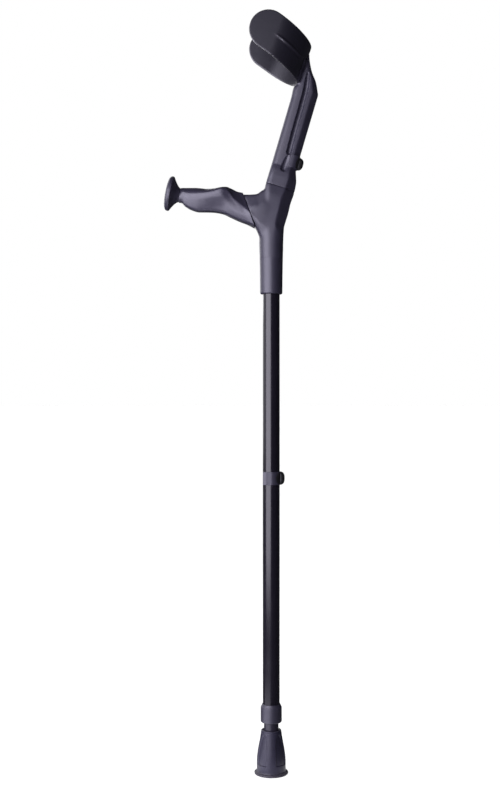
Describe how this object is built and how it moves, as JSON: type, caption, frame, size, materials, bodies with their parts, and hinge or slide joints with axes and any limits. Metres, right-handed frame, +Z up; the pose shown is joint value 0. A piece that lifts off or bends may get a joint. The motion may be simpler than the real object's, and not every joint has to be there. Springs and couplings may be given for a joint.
{
  "type": "forearm crutch",
  "caption": "Forearm crutch with a telescopic leg, an angled moulded handle with a hand stop, a height-adjustable forearm piece and an open forearm cuff.",
  "frame": {"origin": "centre of the ferrule's underside, where the crutch stands on the floor", "axes": "+Z up along the leg, -X along the handle towards the hand stop, so the clips' knobs point to +X; the part is symmetric about Y = 0"},
  "size_m": [0.2014, 0.0954, 0.9844],
  "materials": {
    "coated_aluminium": "gloss black coating",
    "moulded_plastic": "fine matt anthracite moulding",
    "soft_grip": "matt, slightly soft anthracite moulding",
    "dark_rubber": "matt rubber",
    "bare_aluminium": "extruded, satin",
    "zinc_steel": "zinc plated"
  },
  "bodies": {
    "handle": {"outer_tube": "coated_aluminium", "outer_tube_collar": "moulded_plastic", "handle_body": "moulded_plastic", "handle_tube_screw": "zinc_steel", "handle_stub_screw": "zinc_steel", "grip_sleeve": "soft_grip", "hand_stop_disc": "moulded_plastic", "grip_screw": "zinc_steel", "forearm_stub": "bare_aluminium", "forearm_stub_cap": "moulded_plastic"},
    "leg": {"inner_tube": "coated_aluminium", "inner_tube_guide": "moulded_plastic", "ferrule": "dark_rubber", "ferrule_washer": "zinc_steel"},
    "leg_lock": {"leg_clip": "moulded_plastic", "leg_clip_pin": "zinc_steel"},
    "forearm": {"forearm_upright": "moulded_plastic", "cuff": "moulded_plastic", "cuff_screw_lower": "zinc_steel", "cuff_screw_upper": "zinc_steel"},
    "forearm_lock": {"forearm_clip": "moulded_plastic", "forearm_clip_pin": "zinc_steel"}
  },
  "joints": [
    {"name": "leg_slide", "type": "slide", "parent": "handle", "child": "leg", "axis": [0, 0, -1], "range_m": [0, 0.24]},
    {"name": "leg_lock_slide", "type": "slide", "parent": "handle", "child": "leg_lock", "axis": [1, 0, 0], "range_m": [0, 0.005], "stiffness_N_per_m": 800, "springref_m": -0.001},
    {"name": "forearm_slide", "type": "slide", "parent": "handle", "child": "forearm", "axis": [0.2823, 0, 0.9593], "range_m": [0, 0.06]},
    {"name": "forearm_lock_slide", "type": "slide", "parent": "forearm", "child": "forearm_lock", "axis": [0.9593, 0, -0.2823], "range_m": [0, 0.005], "stiffness_N_per_m": 800, "springref_m": -0.001}
  ]
}
